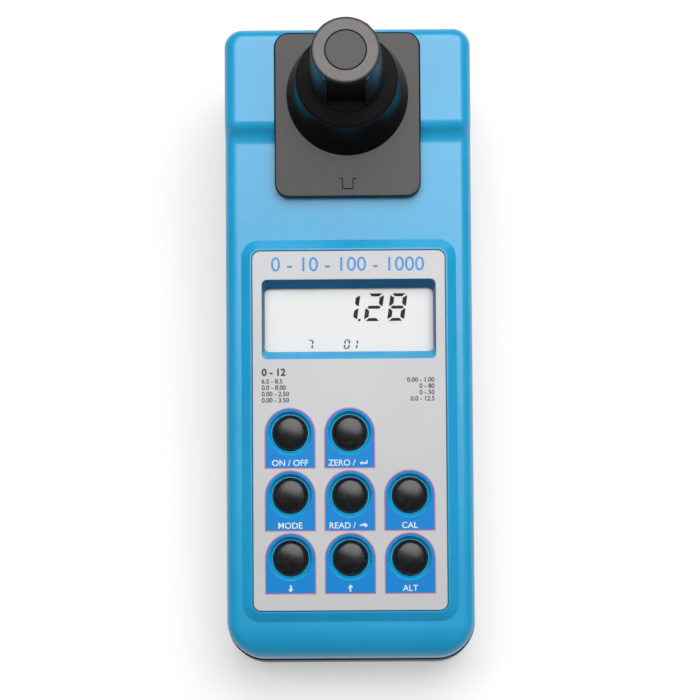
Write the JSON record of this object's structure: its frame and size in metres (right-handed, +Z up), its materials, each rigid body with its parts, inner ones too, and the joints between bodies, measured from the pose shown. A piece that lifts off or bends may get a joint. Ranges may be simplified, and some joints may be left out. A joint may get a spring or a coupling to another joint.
{
  "type": "turbidity meter",
  "caption": "Handheld turbidity meter: sloping light-blue case with display and rubber keys, and a black screw-capped cuvette standing in its head.",
  "frame": {"origin": "on the surface that the meter lies on, under the middle of its length and width", "axes": "+Z up from the flat back, +Y from the tail to the head with the cuvette, +X across the meter"},
  "size_m": [0.0838, 0.209, 0.1055],
  "materials": {
    "upper_case": "satin light blue moulding, finely textured",
    "lower_case": "dark blue-grey moulding, finely textured",
    "seal_rubber": "matt",
    "screw_steel": "plated",
    "foot_rubber": "matt",
    "contact_nickel": "nickel plated spring steel",
    "plate_plastic": "fine texture, satin",
    "collar_plastic": "polished black",
    "lamp_resin": "clear resin",
    "clear_lens": "polished",
    "vial_glass": "clear",
    "liner": "soft foam",
    "cap_plastic": "black, polished knob and matt textured shoulder",
    "panel_sheet": "printed polyester film",
    "window_clear": "clear acrylic",
    "lcd": "reflective display glass",
    "inner_plastic": "black moulding",
    "strip_rubber": "layered elastomer",
    "mat_rubber": "silicone",
    "key_rubber": "satin black silicone dome",
    "circuit_board": "solder mask",
    "chip_resin": "moulded resin",
    "ribbon": "flat cable",
    "cell_jacket": "printed film over steel"
  },
  "bodies": {
    "meter": {"bottom_shell": "lower_case", "top_shell": "upper_case", "case_gasket": "seal_rubber", "case_screws": "screw_steel", "rubber_feet": "foot_rubber", "contact_plates": "contact_nickel", "contact_leaves": "contact_nickel", "holder_plate": "plate_plastic", "cell_holder": "collar_plastic", "lamp_led": "lamp_resin", "beam_lens": "clear_lens", "panel_overlay": "panel_sheet", "display_window": "window_clear", "lcd_glass": "lcd", "lcd_frame": "inner_plastic", "lcd_connectors": "strip_rubber", "keypad_mat": "mat_rubber", "main_board": "circuit_board", "board_chips": "chip_resin", "board_screws": "screw_steel", "ribbon_cable": "ribbon", "dc_jack": "inner_plastic", "lamp_board": "circuit_board", "straight_board": "circuit_board", "scatter_board": "circuit_board", "straight_detector": "chip_resin", "scatter_detector": "chip_resin", "battery_cell_1": "cell_jacket", "battery_cell_2": "cell_jacket", "battery_cell_3": "cell_jacket", "battery_cell_4": "cell_jacket"},
    "door": {"battery_door": "lower_case"},
    "vial": {"cuvette_vial": "vial_glass"},
    "liner": {"cap_liner": "liner"},
    "cap": {"cuvette_cap": "cap_plastic"},
    "key_power_body": {"key_power": "key_rubber"},
    "key_zero_body": {"key_zero": "key_rubber"},
    "key_mode_body": {"key_mode": "key_rubber"},
    "key_read_body": {"key_read": "key_rubber"},
    "key_cal_body": {"key_cal": "key_rubber"},
    "key_down_body": {"key_down": "key_rubber"},
    "key_up_body": {"key_up": "key_rubber"},
    "key_alt_body": {"key_alt": "key_rubber"}
  },
  "joints": [
    {"name": "key_power_press", "type": "slide", "parent": "meter", "child": "key_power_body", "axis": [0, 0.1392, -0.9903], "range_m": [0, 0.0012], "stiffness_N_per_m": 400},
    {"name": "key_zero_press", "type": "slide", "parent": "meter", "child": "key_zero_body", "axis": [0, 0.1392, -0.9903], "range_m": [0, 0.0012], "stiffness_N_per_m": 400},
    {"name": "key_mode_press", "type": "slide", "parent": "meter", "child": "key_mode_body", "axis": [0, 0.1392, -0.9903], "range_m": [0, 0.0012], "stiffness_N_per_m": 400},
    {"name": "key_read_press", "type": "slide", "parent": "meter", "child": "key_read_body", "axis": [0, 0.1392, -0.9903], "range_m": [0, 0.0012], "stiffness_N_per_m": 400},
    {"name": "key_cal_press", "type": "slide", "parent": "meter", "child": "key_cal_body", "axis": [0, 0.1392, -0.9903], "range_m": [0, 0.0012], "stiffness_N_per_m": 400},
    {"name": "key_down_press", "type": "slide", "parent": "meter", "child": "key_down_body", "axis": [0, 0.1392, -0.9903], "range_m": [0, 0.0012], "stiffness_N_per_m": 400},
    {"name": "key_up_press", "type": "slide", "parent": "meter", "child": "key_up_body", "axis": [0, 0.1392, -0.9903], "range_m": [0, 0.0012], "stiffness_N_per_m": 400},
    {"name": "key_alt_press", "type": "slide", "parent": "meter", "child": "key_alt_body", "axis": [0, 0.1392, -0.9903], "range_m": [0, 0.0012], "stiffness_N_per_m": 400},
    {"name": "cuvette_lift", "type": "slide", "parent": "meter", "child": "vial", "axis": [0, 0, 1], "range_m": [0, 0.066]},
    {"name": "cap_rise", "type": "slide", "parent": "vial", "child": "liner", "axis": [0, 0, 1], "range_m": [0, 0.00375]},
    {"name": "cap_turn", "type": "hinge", "parent": "liner", "child": "cap", "pos_m": [0, 0.08144, 0.09], "axis": [0, 0, 1], "range_deg": [0, 450]},
    {"name": "battery_door_slide", "type": "slide", "parent": "meter", "child": "door", "axis": [0, -1, 0], "range_m": [0, 0.06]}
  ],
  "couplings": [
    {"joint": "cap_rise", "follows": "cap_turn", "m_per_rad": 0.00047746}
  ]
}
